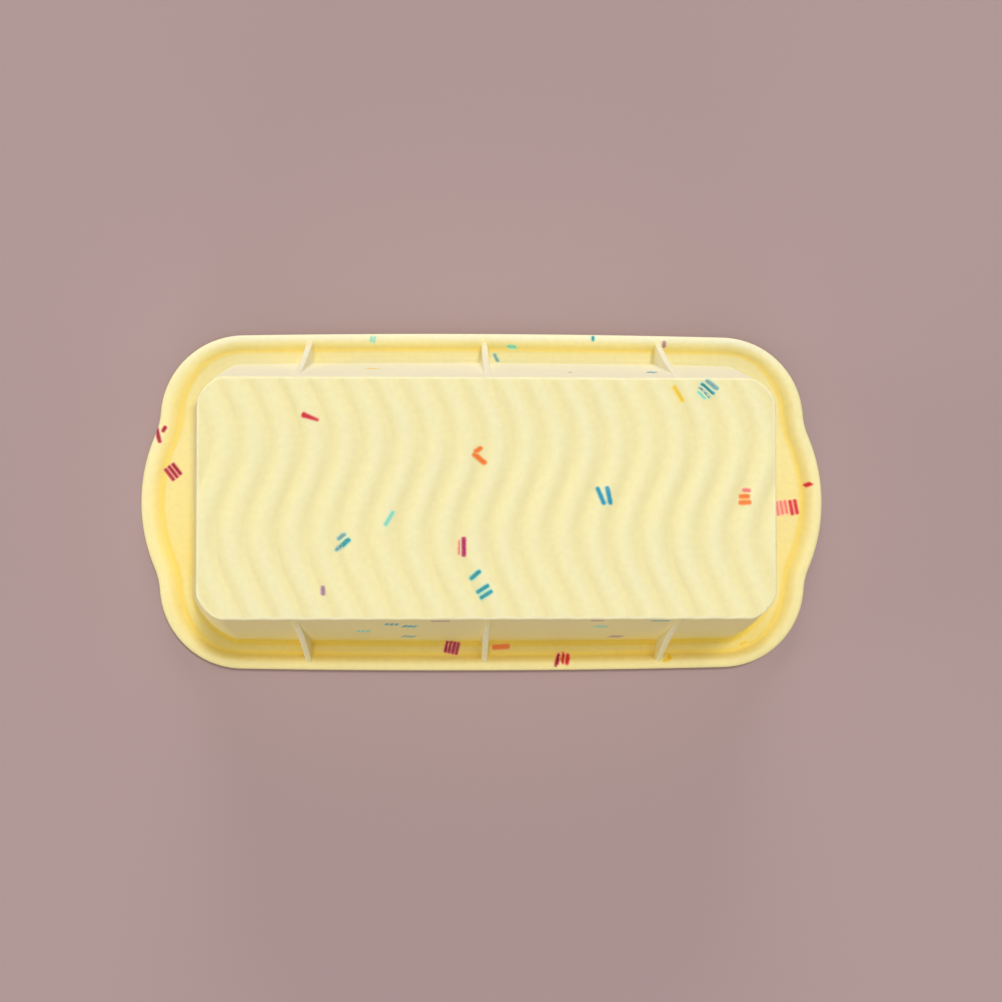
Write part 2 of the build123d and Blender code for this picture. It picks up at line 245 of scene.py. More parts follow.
# Across a gusset: from its middle over its rounded edge, as shares of its half thickness, and out of its root
EDGE_SHARES = (0.0, 0.25, 0.45, 0.62, 0.76, 0.87, 0.95)
ROOT_STEPS = (0.0, 0.04, 0.2, 0.5, 0.9, 1.3, 1.7)
GUSSET_STEPS = [GUSSET_HALF_THICKNESS * share for share in EDGE_SHARES]
GUSSET_STEPS += [GUSSET_HALF_THICKNESS + step for step in ROOT_STEPS]
SQUARE_ON = 0.999  # a normal with more Y than this is a long wall's
FIXED_X = 80.0  # columns nearer the middle than this keep their X from foot to base
COLUMN_STEP = 1.14
SIDE_STEP = 1.5
CORNER_STEPS = 16
WAVE_ROOM_X, WAVE_ROOM_Y = 16.0, 9.0  # the base's grid follows the waves fully this far in from its edges


def long_side_columns():
    """X of the columns along a long wall's straight foot, closer together at the gussets."""
    half = FOOT_HALF_LENGTH - FOOT_CORNER_R
    columns = []
    fine = sorted({s * d for s in (-1, 1) for d in GUSSET_STEPS})
    stops = [-half]
    for g in (-GUSSET_SPACING, 0.0, GUSSET_SPACING):
        stops += [g + fine[0], g + fine[-1]]
    stops.append(half)
    for k, (a, b) in enumerate(zip(stops[:-1], stops[1:])):
        if k % 2:
            columns += [(k // 2 - 1) * GUSSET_SPACING + d for d in fine[:-1]]
        else:
            count = max(1, round((b - a) / COLUMN_STEP))
            columns += list(np.linspace(a, b, count, endpoint=False))
    return np.array(columns + [half])


COLUMNS = long_side_columns()
SIDE_COUNT = 2 * round((FOOT_HALF_WIDTH - FOOT_CORNER_R) / SIDE_STEP)


def ring(half_length, half_width, corner_r):
    """A ring with flattened round corners, its outward normals, and directions that fan out evenly.

    The order is: right wall, corner, far wall, corner, left wall, corner, near wall, corner."""
    straight_x, straight_y = half_length - corner_r, half_width - corner_r
    foot_straight = FOOT_HALF_LENGTH - FOOT_CORNER_R
    squeezed = FIXED_X + (abs(COLUMNS) - FIXED_X) * (straight_x - FIXED_X) / (foot_straight - FIXED_X)
    x = np.where(abs(COLUMNS) <= FIXED_X, COLUMNS, np.sign(COLUMNS) * squeezed)
    y = np.linspace(-straight_y, straight_y, SIDE_COUNT + 1)
    turn = np.linspace(0, math.pi / 2, CORNER_STEPS + 1)[1:-1]
    flat_turn = CORNER_CREASE + turn * (1 - 4 * CORNER_CREASE / math.pi)
    flat_r = corner_r / (math.cos(CORNER_CREASE) - math.sin(CORNER_CREASE))
    pull = flat_r * math.sin(CORNER_CREASE)
    points, normals, fans = [], [], []

    def side(px, py, nx, ny):
        points.append(np.stack([px, py], 1))
        normals.append(np.tile([nx, ny], (len(px), 1)))
        fans.append(normals[-1])

    def corner(cx, cy, start):
        n = np.stack([np.cos(start + flat_turn), np.sin(start + flat_turn)], 1)
        centre = np.array([cx - math.copysign(pull, cx), cy - math.copysign(pull, cy)])
        points.append(centre + flat_r * n)
        normals.append(n)
        fans.append(np.stack([np.cos(start + turn), np.sin(start + turn)], 1))

    side(np.full_like(y, half_length), y, 1.0, 0.0)
    corner(straight_x, straight_y, 0.0)
    side(x[::-1], np.full_like(x, half_width), 0.0, 1.0)
    corner(-straight_x, straight_y, math.pi / 2)
    side(np.full_like(y, -half_length), y[::-1], -1.0, 0.0)
    corner(-straight_x, -straight_y, math.pi)
    side(x, np.full_like(x, -half_width), 0.0, -1.0)
    corner(straight_x, -straight_y, 1.5 * math.pi)
    return np.concatenate(points), np.concatenate(normals), np.concatenate(fans)


def wall_lean(z):
    return DRAFT * (z - SKIN) / DRAFT_RISE


def wall_ring(z, inset=0.0):
    """Ring on the wall at height z, moved in by inset."""
    lean = wall_lean(z)
    share = (z - SKIN) / DRAFT_RISE
    corner_r = FOOT_CORNER_R + (BASE_CORNER_R - FOOT_CORNER_R) * share
    points, normals, fans = ring(
        FOOT_HALF_LENGTH - lean - inset, FOOT_HALF_WIDTH - lean - inset, max(corner_r - inset, LEAST_CORNER_R)
    )
    straight = FOOT_HALF_LENGTH - FOOT_CORNER_R
    bow = FOOT_BOW * (1 - np.clip(share, 0, 1)) * np.clip(1 - (points[:, 0] / straight) ** 2, 0, 1)
    points[:, 1] += bow * np.round(normals[:, 1]) * (abs(normals[:, 1]) > SQUARE_ON)
    return points, normals, fans


FOOT_RING, FOOT_NORMALS, FANS = wall_ring(SKIN)
RIM_RING, RIM_NORMALS = reach_outline(FOOT_RING, FANS)
RING_COUNT = len(FOOT_RING)
GRIPNESS = smoothstep(GRIP_START, GRIP_FULL, abs(RIM_RING[:, 0]))
BEAD_WIDTHS = BEAD_WIDTH + (GRIP_BEAD_WIDTH - BEAD_WIDTH) * GRIPNESS
GRID_X = len(COLUMNS) - 1 + CORNER_STEPS
GRID_Y = SIDE_COUNT + CORNER_STEPS


def level(points, z):
    """2-D points raised to height z."""
    return np.column_stack([points, np.broadcast_to(z, len(points))])


def rim_row(inset, z):
    """Ring at a distance, or at one for each of its points, in from the rim's outline."""
    return level(RIM_RING - np.broadcast_to(inset, RING_COUNT)[:, None] * RIM_NORMALS, z)


# Each function below gives rows: rings of points, each with a painted shade from 0, open, to 1, deep in a
# corner.
# The painted shade sets how saturated the silicone looks, in place of real shade and bounced light. It is
# greater on the shaded near side.
NEARNESS = 0.5 - 0.5 * RIM_NORMALS[:, 1]


def shaded(start, change=(0.0, 0.0), near_share=1.0, far_share=1.0):
    """Painted shades round a ring, from pairs for the near and the far side, with a share of a change for
    each.
    """
    near = start[0] + change[0] * near_share
    far = start[1] + change[1] * far_share
    return far + (near - far) * NEARNESS


def bead_rows():
    """From under the rim's outer edge, over the bead and down its inner slope, through a shallow groove."""
    rows = []
    for turn in np.linspace(0, math.pi / 2, 6):
        row = rim_row(BEAD_UNDER_ROUND * (1 - math.sin(turn)), BEAD_UNDER_ROUND * (1 - math.cos(turn)))
        rows.append((row, shaded(UNDER_BEAD_SHADE)))
    for turn in np.linspace(math.pi, math.pi / 2, 9):
        z = BEAD_HEIGHT - BEAD_ROUND + BEAD_ROUND * math.sin(turn)
        rows.append((rim_row(BEAD_CREST * (1 + math.cos(turn)), z), shaded(BEAD_SHADE)))
    groove_z = SKIN - GROOVE_DEPTH
    for share in np.linspace(0, 1, 15)[1:]:
        drop = 0.5 - 0.5 * math.cos(math.pi * share**SLOPE_LAG)
        inset = BEAD_CREST + (BEAD_WIDTHS - BEAD_CREST) * share
        gains = [share**power for power in SLOPE_GAIN_POWER]
        row = rim_row(inset, BEAD_HEIGHT + (groove_z - BEAD_HEIGHT) * drop)
        rows.append((row, shaded(BEAD_SHADE, SLOPE_GAIN, *gains)))
    for share in (0.25, 0.5, 0.75, 1.0):
        z = groove_z + GROOVE_DEPTH * (0.5 - 0.5 * math.cos(math.pi * share))
        row = rim_row(BEAD_WIDTHS + GROOVE_WIDTH * share, z)
        rows.append((row, shaded(GROOVE_SHADE, GROOVE_LOSS, -share, -share)))
    return rows


def flange_rows(last):
    """Across the flat flange to the wall's foot, then up its hollow round."""
    centre_z = SKIN + FOOT_ROUND
    points, normals, _ = wall_ring(centre_z, -FOOT_ROUND / math.cos(DRAFT_ANGLE))
    foot = []
    for turn in np.linspace(math.pi / 2, DRAFT_ANGLE, 6):
        flat = points - FOOT_ROUND * math.cos(turn) * normals
        foot.append((level(flat, centre_z - FOOT_ROUND * math.sin(turn)), shaded(FOOT_SHADE)))
    first = foot[0][0]
    plateau = [(last * (1 - share) + first * share, shaded(PLATEAU_SHADE)) for share in (0.25, 0.5, 0.78)]
    return plateau + foot


def outer_wall_rows():
    """Up the outside of the walls."""
    rows = []
    for z in np.linspace(SKIN + FOOT_ROUND + 0.8, VALLEY_Z - BASE_EDGE_ROUND - 0.8, 18):
        low = (1 - (z - SKIN) / DRAFT_RISE) ** WALL_FOOT_POWER
        rows.append((level(wall_ring(z)[0], z), shaded(WALL_SHADE, WALL_FOOT_GAIN, low, low)))
    return rows


def edge_rows(top_z, inset, steps, painted_shade):
    """The round from a wall into a base, up to where the base's own grid begins. It follows the waves."""
    centre_z = top_z - BASE_EDGE_ROUND
    points, normals, _ = wall_ring(centre_z, inset + BASE_EDGE_ROUND / math.cos(DRAFT_ANGLE))
    lift = RIDGE_HEIGHT * ridge_profile(points[:, 0], points[:, 1])
    rows = []
    for share in np.linspace(0, 1, steps):
        turn = DRAFT_ANGLE + (math.pi / 2 - DRAFT_ANGLE) * share
        out = BASE_EDGE_ROUND * math.cos(turn) - lift * math.tan(DRAFT_ANGLE)
        flat = points + out[:, None] * normals
        rows.append((level(flat, centre_z + BASE_EDGE_ROUND * math.sin(turn) + lift), painted_shade))
    return rows


def inner_rows():
    """From the rim's flat underside, round the mouth's lip and up the inside of the walls."""
    skin_across = SKIN / math.cos(DRAFT_ANGLE)
    points, normals, _ = wall_ring(SKIN, skin_across - MOUTH_ROUND)
    lip = level(points + MOUTH_ROUND * normals, 0.0)
    rows = [(rim_row(BEAD_WIDTH, 0.0), UNDERSIDE_SHADE), (lip, UNDERSIDE_SHADE)]
    for turn in np.linspace(0, math.pi / 2, 5)[1:]:
        flat = points + MOUTH_ROUND * (1 - math.sin(turn)) * normals
        rows.append((level(flat, MOUTH_ROUND * (1 - math.cos(turn))), LIP_SHADE))
    top_z = VALLEY_Z - SKIN
    for z in np.linspace(SKIN + 1, top_z - BASE_EDGE_ROUND - 1, 12):
        rows.append((level(wall_ring(z, skin_across)[0], z), LIP_SHADE + INSIDE_GAIN * z / top_z))
    return rows + edge_rows(top_z, skin_across, 6, INSIDE_EDGE_SHADE)


def tunnel_rows():
    """The round tunnel in the bead that the steel ring lies in."""
    rows = []
    for turn in np.linspace(0, TAU, 12, endpoint=False):
        rows.append(rim_row(WIRE_INSET + WIRE_R * math.cos(turn), WIRE_Z + WIRE_R * math.sin(turn)))
    return np.array(rows)


# ---------------------------------------------------------------- the base between the edges


def grid_edges(loop, nx, ny):
    """A closed loop of ring points, or of their numbers, cut into the four edges of a grid."""
    right = loop[: ny + 1]
    far = loop[ny : ny + nx + 1][::-1]
    left = loop[ny + nx : 2 * ny + nx + 1][::-1]
    near = np.concatenate([loop[2 * ny + nx :], loop[:1]])
    return right, far, left, near


def wavy_grid(edge_ring, z):
    """Grid of points that fills a ring. Away from the edge its columns follow the waves."""
    right, far, left, near = grid_edges(np.roll(edge_ring[:, :2], CORNER_STEPS // 2, 0), GRID_X, GRID_Y)
    u = ((near[:, 0] - near[0, 0]) / (near[-1, 0] - near[0, 0]))[:, None, None]
    v = ((left[:, 1] - left[0, 1]) / (left[-1, 1] - left[0, 1]))[None, :, None]
    between_sides = (1 - u) * left[None] + u * right[None]
    between_ends = (1 - v) * near[:, None] + v * far[:, None]
    from_corners = (1 - v) * ((1 - u) * near[0] + u * near[-1]) + v * ((1 - u) * far[0] + u * far[-1])
    flat = between_sides + between_ends - from_corners
    room_x = abs(edge_ring[:, 0]).max() - abs(flat[..., 0])
    room_y = abs(edge_ring[:, 1]).max() - abs(flat[..., 1])
    give = smoothstep(0, WAVE_ROOM_X, room_x) * smoothstep(0, WAVE_ROOM_Y, room_y)
    flat[..., 0] += give * wave_shift(flat[..., 1])
    relief = ridge_profile(flat[..., 0], flat[..., 1])
    return np.dstack([flat, z + RIDGE_HEIGHT * relief]), relief


# ---------------------------------------------------------------- gussets


def sloping_edge():
    """A gusset's hollow sloping edge, from the wall down to the bead, as (out from the middle, z)."""
    top = np.array([FOOT_HALF_WIDTH - wall_lean(GUSSET_TOP_Z) + GUSSET_TOP_STANDOFF, GUSSET_TOP_Z])
    waist = np.array([FOOT_HALF_WIDTH - wall_lean(GUSSET_WAIST_Z) + GUSSET_WAIST_STANDOFF, GUSSET_WAIST_Z])
    foot = np.array([WIDTH / 2 - GUSSET_FOOT_INSET, BEAD_HEIGHT - 0.3])
    a, b = 2 * (waist - top), 2 * (foot - top)
    c = np.array([waist @ waist - top @ top, foot @ foot - top @ top])
    centre = np.linalg.solve(np.array([a, b]), c)
    radius = np.linalg.norm(top - centre)
    start, end = (math.atan2(*(p - centre)[::-1]) % TAU for p in (top, foot))
    turn = np.linspace(start, end, 400)
    points = centre + radius * np.stack([np.cos(turn), np.sin(turn)], 1)
    outside = points[:, 0] > FOOT_HALF_WIDTH - wall_lean(points[:, 1])
    return points[outside]


def spread(path, shares):
    """Points along a path at these shares of its length."""
    run = np.concatenate([[0], np.cumsum(np.linalg.norm(np.diff(path, axis=0), axis=1))])
    return np.stack([np.interp(shares * run[-1], run, path[:, k]) for k in range(path.shape[1])], 1)


def blade_height(off, full):
    """How far the skin rises, off to the side of a gusset's middle plane, where it is full high."""
    off = abs(off)
    tip = GUSSET_HALF_THICKNESS - GUSSET_TOP_ROUND
    if off < GUSSET_HALF_THICKNESS - 0.01:
        over = max(off - tip, 0.0)
        return np.maximum(full - GUSSET_TOP_ROUND + math.sqrt(GUSSET_TOP_ROUND**2 - over**2), 0.0)
    room = np.clip((full - GUSSET_TOP_ROUND) / GUSSET_ROOT_ROUND, 0.0, 1.0)
    inward = min(max(GUSSET_HALF_THICKNESS + GUSSET_ROOT_ROUND - off, 0.0), GUSSET_ROOT_ROUND)
    root = room * (GUSSET_ROOT_ROUND - math.sqrt(GUSSET_ROOT_ROUND**2 - inward**2))
    if off < GUSSET_HALF_THICKNESS + 0.01:
        return (root + np.maximum(full - GUSSET_TOP_ROUND, root)) / 2
    return root


def raise_gussets(rows, painted_shades):
    """Moves the skin between the walls and the bead out to the gussets, in place."""
    slope = sloping_edge()
    for j in np.flatnonzero(abs(FOOT_NORMALS[:, 1]) > SQUARE_ON):
        x, y = FOOT_RING[j]
        off = min((x - g for g in (-GUSSET_SPACING, 0.0, GUSSET_SPACING)), key=abs)
        if abs(off) > GUSSET_HALF_THICKNESS + GUSSET_ROOT_ROUND:
            continue
        side = math.copysign(1.0, y)
        path = np.stack([side * rows[:, j, 1], rows[:, j, 2]], 1)
        crest = int(np.argmin(np.linalg.norm(path - slope[-1], axis=1)))
        top = int(np.argmin(np.linalg.norm(path - slope[0], axis=1)))
        part = path[crest : top + 1]
        run = np.concatenate([[0], np.cumsum(np.linalg.norm(np.diff(part, axis=0), axis=1))])
        reach = spread(slope[::-1], run / run[-1]) - part
        full = np.linalg.norm(reach, axis=1)
        full[0] = full[-1] = 0.0
        height = blade_height(off, full)
        moved = part + unit(reach) * height[:, None]
        rows[crest : top + 1, j, 1] = side * moved[:, 0]
        rows[crest : top + 1, j, 2] = moved[:, 1]
        # gussets that stand high get less painted shade
        painted_shades[crest : top + 1, j] *= 1 - GUSSET_FADE * smoothstep(GUSSET_FADE_FROM, GUSSET_FADE_TO, height)


# ---------------------------------------------------------------- the silicone skin


def grid_quads(table):
    """The quads of a grid of vertex numbers, as rows of four."""
    return np.stack([table[:-1, :-1], table[1:, :-1], table[1:, 1:], table[:-1, 1:]], -1).reshape(-1, 4)


def build_skin():
    """Points, faces and painted shades of the closed skin, and which faces are its outside, from bead to
    base.
    """
    bead = bead_rows()
    inner = inner_rows()[::-1]
    outer = bead + flange_rows(bead[-1][0]) + outer_wall_rows() + edge_rows(VALLEY_Z, 0.0, 7, EDGE_SHADE)
    rows = np.array([row for row, _ in inner + outer])
    painted_shades = np.array([np.full(RING_COUNT, painted_shade) for _, painted_shade in inner + outer])
    raise_gussets(rows[len(inner) :], painted_shades[len(inner) :])
    count = len(rows)
    numbers = np.arange(count * RING_COUNT).reshape(count, RING_COUNT)
    following = np.roll(numbers, -1, 1)
    vertices, shades = [rows.reshape(-1, 3)], [painted_shades.ravel()]
    quads = [np.stack([numbers[:-1], following[:-1], following[1:], numbers[1:]], -1).reshape(-1, 4)]
    used = count * RING_COUNT
    for end, z, painted_shade in ((-1, VALLEY_Z, BASE_SHADE), (0, VALLEY_Z - SKIN, INSIDE_BASE_SHADE)):
        grid, relief = wavy_grid(rows[end], z)
        table = np.zeros((GRID_X + 1, GRID_Y + 1), int)
        right, far, left, near = grid_edges(np.roll(numbers[end], CORNER_STEPS // 2), GRID_X, GRID_Y)
        table[-1], table[0], table[:, -1], table[:, 0] = right, left, far, near
        inside = grid[1:-1, 1:-1].reshape(-1, 3)
        table[1:-1, 1:-1] = (used + np.arange(len(inside))).reshape(GRID_X - 1, GRID_Y - 1)
        used += len(inside)
        vertices.append(inside)
        shades.append(painted_shade + VALLEY_GAIN * (1 - relief[1:-1, 1:-1].ravel()))
        quads.append(grid_quads(table))
    tunnel = tunnel_rows()
    numbers = used + np.arange(tunnel.shape[0] * RING_COUNT).reshape(-1, RING_COUNT)
    around, along = np.roll(numbers, -1, 0), np.roll(numbers, -1, 1)
    quads.append(np.stack([numbers, along, np.roll(around, -1, 1), around], -1).reshape(-1, 4))
    vertices.append(tunnel.reshape(-1, 3))
    shades.append(np.ones(tunnel.shape[0] * RING_COUNT))
    outside = slice(len(inner) * RING_COUNT, (count - 1) * RING_COUNT + GRID_X * GRID_Y)
    return np.concatenate(vertices), np.concatenate(quads), np.concatenate(shades), outside


def mesh_piece(name, vertices, faces, attributes):
    """A smooth-shaded mesh object from points in millimetres, with its faces turned outwards."""
    mesh = bpy.data.meshes.new(name)
    mesh.from_pydata((np.asarray(vertices) * MM).tolist(), [], [list(map(int, f)) for f in faces])
    work = bmesh.new()
    work.from_mesh(mesh)
    bmesh.ops.recalc_face_normals(work, faces=work.faces)
    work.to_mesh(mesh)
    work.free()
    mesh.shade_smooth()
    for label, values in attributes.items():
        layer = mesh.attributes.new(label, "FLOAT", "POINT")
        layer.data.foreach_set("value", np.asarray(values, dtype=np.float32))
    piece = bpy.data.objects.new(name, mesh)
    bpy.context.scene.collection.objects.link(piece)
    return piece


skin_vertices, skin_faces, skin_painted_shades, outside = build_skin()
skin = mesh_piece("silicone_skin", skin_vertices, skin_faces, {"painted_shade": skin_painted_shades})
skin.modifiers.new("even_shading", "WEIGHTED_NORMAL")
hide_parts("mould_body")
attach(skin, "root")


# ---------------------------------------------------------------- coloured chips

outer_faces = skin_faces[outside].tolist()
skin_tree = BVHTree.FromPolygons(skin_vertices.tolist(), outer_faces)


def convex_hull(points):
    """Corners of the convex hull of 2-D points, anticlockwise."""
    points = sorted(map(tuple, np.round(points, 4)))

    def turns_left(a, b, c):
        return (b[0] - a[0]) * (c[1] - b[1]) - (b[1] - a[1]) * (c[0] - b[0]) > 0

    def half(ordered):
        chain = []
        for p in ordered:
            while len(chain) > 1 and not turns_left(chain[-2], chain[-1], p):
                chain.pop()
            chain.append(p)
        return chain[:-1]

    return np.array(half(points) + half(points[::-1]))


def islands(node):
    """Points, in millimetres, of each separate solid of a CAD node."""
    work = bmesh.new()
    work.from_mesh(node.data)
    bmesh.ops.remove_doubles(work, verts=work.verts, dist=1e-6)
    left, found = set(work.verts), []
    while left:
        stack, group = [left.pop()], []
        while stack:
            vertex = stack.pop()
            group.append(np.array(vertex.co) / MM)
            for edge in vertex.link_edges:
                other = edge.other_vert(vertex)
                if other in left:
                    left.remove(other)
                    stack.append(other)
        found.append(np.array(group))
    work.free()
    return sorted(found, key=lambda group: tuple(np.round(group.mean(0), 3)))


def long_axis(hull):
    """Direction of the smallest rectangle round a hull, along its longer side."""
    best = None
    for edge in np.roll(hull, -1, 0) - hull:
        axis = edge / max(np.linalg.norm(edge), 1e-9)
        across = np.array([-axis[1], axis[0]])
        spans = np.ptp(hull @ axis), np.ptp(hull @ across)
        if best is None or spans[0] * spans[1] < best[0]:
            best = (spans[0] * spans[1], axis if spans[0] >= spans[1] else across)
    return best[1]


def width_at(hull, t):
    """Lower and upper edge of a hull, given along and across, at t along."""
    hits = []
    for a, b in zip(hull, np.roll(hull, -1, 0)):
        if (a[0] - t) * (b[0] - t) <= 0 and abs(a[0] - b[0]) > 1e-9:
            hits.append(a[1] + (b[1] - a[1]) * (t - a[0]) / (b[0] - a[0]))
    return min(hits), max(hits)


def land(point, outward):
    """Where a point drops onto the skin, with the skin's normal and painted shade there."""
    start = Vector(point + DROP_FROM * outward)
    hit, normal, face, _ = skin_tree.ray_cast(start, Vector(-outward), DROP_REACH)
    if hit is None:
        hit, normal, face, _ = skin_tree.find_nearest(Vector(point))
    corners = outer_faces[face]
    near = 1 / (np.linalg.norm(skin_vertices[corners] - np.array(hit), axis=1) ** 2 + 1e-4)
    return np.array(hit), np.array(normal), (near * skin_painted_shades[corners]).sum() / near.sum()


def chip_patch(points, level_step):
    """One bar of a chip, laid over the skin: vertices, faces, and how each vertex is shaded.

    A margin round the bar fades out into the silicone."""
    middle = points.mean(0)
    _, normal, _, _ = skin_tree.find_nearest(Vector(middle))
    outward = np.array(normal)
    u = unit(np.cross(outward, [0.3, 0.2, 0.9] if abs(outward[2]) < 0.9 else [0.0, 1.0, 0.0]))
    v = np.cross(outward, u)
    flat = (points - middle) @ np.stack([u, v], 1)
    axis = long_axis(convex_hull(flat))
    turned = np.stack([axis, [-axis[1], axis[0]]], 1)
    hull = convex_hull(flat @ turned)
    low, high = hull[:, 0].min(), hull[:, 0].max()
    steps = max(3, math.ceil((high - low) / CHIP_STEP))
    inner = np.linspace(low, high, steps + 1)
    along = [(low - CHIP_MARGIN, 1.0), (low - CHIP_MARGIN / 2, 0.5)] + [(t, 0.0) for t in inner]
    along += [(high + CHIP_MARGIN / 2, 0.5), (high + CHIP_MARGIN, 1.0)]
    top, bottom, fades, painted_shades = [], [], [], []
    for t, end_fade in along:
        reach = min(max(t, low + CHIP_END_INSET), high - CHIP_END_INSET)
        near_side, far_side = width_at(hull, reach)
        wobble = CHIP_WOBBLE * noise.noise(Vector((middle[0] * 7.1 + t * 1.6, middle[1] * 3.3, middle[2])))
        half, centre = CHIP_CORE * (far_side - near_side) / 2 + wobble, (far_side + near_side) / 2
        for share, margin in CHIP_CROSS:
            across = centre + share * (half + margin * CHIP_MARGIN)
            place = turned @ np.array([t, across])
            spot, lean, painted_shade = land(middle + place[0] * u + place[1] * v, outward)
            top.append(spot + (CHIP_PROUD + level_step) * lean)
            bottom.append(spot - CHIP_DEPTH * lean)
            core = CORE_FADE * abs(share) ** 3
            fades.append(1 - (1 - end_fade) * (1 - core) * (1 - margin))
            # each chip point takes the skin's painted shade where it lands
            painted_shades.append(painted_shade)
    table = np.arange(len(top)).reshape(-1, len(CHIP_CROSS))
    faces = [tuple(quad) for quad in grid_quads(table)]
    below = len(top)
    faces += [tuple(below + k for k in face[::-1]) for face in faces]
    border = list(table[0]) + list(table[1:, -1]) + list(table[-1, -2::-1]) + list(table[-2:0:-1, 0])
    for a, b in zip(border, border[1:] + border[:1]):
        faces.append((a, b, b + below, a + below))
    middle_column = len(CHIP_CROSS) // 2
    core = top[table[2, middle_column]], top[table[-3, middle_column]], half
    return np.array(top + bottom), faces, fades * 2, painted_shades * 2, border, core


def halo(vertices, core):
    """How faded points are by their distance from a bar, given by its two ends and its half width."""
    start, end, half = core
    line = end - start
    share = np.clip((vertices - start) @ line / max(line @ line, 1e-9), 0.0, 1.0)
    away = np.linalg.norm(vertices - start - share[:, None] * line, axis=1) - half
    return 1 - (1 - CORE_FADE) * np.clip(1 - away / CHIP_MARGIN, 0.0, 1.0)


def chips_piece(node_name):
    """All chips of one colour, as one piece in place of their CAD node."""
    vertices, faces, fades, painted_shades, dense, borders, cores = [], [], [], [], [], [], []
    for index, points in enumerate(islands(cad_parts[node_name])):
        top, quads, fade, painted_shade, border, core = chip_patch(points, CHIP_LEVEL_STEP * (index % CHIP_LEVELS))
        start = len(vertices)
        vertices += list(top)
        faces += [tuple(start + k for k in quad) for quad in quads]
        fades += fade
        painted_shades += painted_shade
        dense += [0.5 + 0.5 * noise.noise(Vector(points.mean(0)) * 0.37)] * len(top)
        borders.append([start + k for k in border])
        cores.append(core)
    fades = np.min([fades] + [halo(np.array(vertices), core) for core in cores], axis=0)
    # the chips carry the skin's painted shade too, so they match the silicone round them
    attributes = {"painted_shade": painted_shades, "fade": fades, "dense": dense}
    piece = mesh_piece(node_name.replace("chips", "inlays"), vertices, faces, attributes)
    sharp = piece.data.attributes.new("sharp_edge", "BOOLEAN", "EDGE")
    rims = {frozenset(pair) for border in borders for pair in zip(border, border[1:] + border[:1])}
    sharp.data.foreach_set("value", [frozenset(edge.vertices) in rims for edge in piece.data.edges])
    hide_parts(node_name)
    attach(piece, "root")
    return piece


# ---------------------------------------------------------------- materials


def new_material(name):
    """A node material with its Principled shader, and short calls to add and join nodes."""
    material = bpy.data.materials.new(name)
    material.use_nodes = True
    tree = material.node_tree
    shader = tree.nodes["Principled BSDF"]

    def add(kind, inputs=None, **settings):
        node = tree.nodes.new("ShaderNode" + kind)
        for key, value in settings.items():
            setattr(node, key, value)
        for key, value in (inputs or {}).items():
            if isinstance(value, bpy.types.NodeSocket):
                tree.links.new(value, node.inputs[key])
            else:
                node.inputs[key].default_value = value
        return node

    return material, tree, shader, add


def ramp(node, stops):
    """Sets a colour ramp's stops: places with their colours."""
    elements = node.color_ramp.elements
    while len(elements) > 1:
        elements.remove(elements[-1])
    elements[0].position, elements[0].color = stops[0][0], (*stops[0][1], 1)
    for place, colour in stops[1:]:
        elements.new(place).color = (*colour, 1)


def linear(red, green, blue):
    """An sRGB colour of 0 to 255 as linear light."""
    values = [c / 255 for c in (red, green, blue)]
    return tuple(c / 12.92 if c <= 0.04045 else ((c + 0.055) / 1.055) ** 2.4 for c in values)


def calculate(add, operation, *values):
    """Output of a math node."""
    return add("Math", dict(enumerate(values)), operation=operation).outputs[0]


def remap(add, value, old, new, **settings):
    """Output of a node that maps a value from one range to another."""
    ranges = {"From Min": old[0], "From Max": old[1], "To Min": new[0], "To Max": new[1]}
    return add("MapRange", {"Value": value, **ranges}, **settings).outputs[0]


def mix(add, factor, a, b):
    """Output of a node that mixes two colours."""
    return add("Mix", {"Factor": factor, "A": a, "B": b}, data_type="RGBA").outputs["Result"]


NOISE_RANGE = (0.3, 0.7)  # most of a noise texture's values lie in it


def chip_colouring(add, place, body, strong, pale):
    """A chip's colour: strong in its core, paler and streaked round it, and faded out into the silicone."""
    fade = add("Attribute", attribute_name="fade").outputs["Fac"]
    dense = add("Attribute", attribute_name="dense").outputs["Fac"]
    streak = add("TexNoise", {"Vector": place, "Scale": 900.0, "Detail": 2.0}).outputs["Fac"]
    speckled = remap(add, calculate(add, "ADD", streak, dense), (0.85, 1.6), (0.0, 0.4))
    paleness = remap(add, fade, (0.15, 0.5), (0.0, 0.9))
    chip = mix(add, calculate(add, "MAXIMUM", paleness, speckled), (*strong, 1), (*pale, 1))
    return mix(add, remap(add, fade, (0.4, 1.0), (0.0, 1.0), interpolation_type="SMOOTHSTEP"), chip, body)


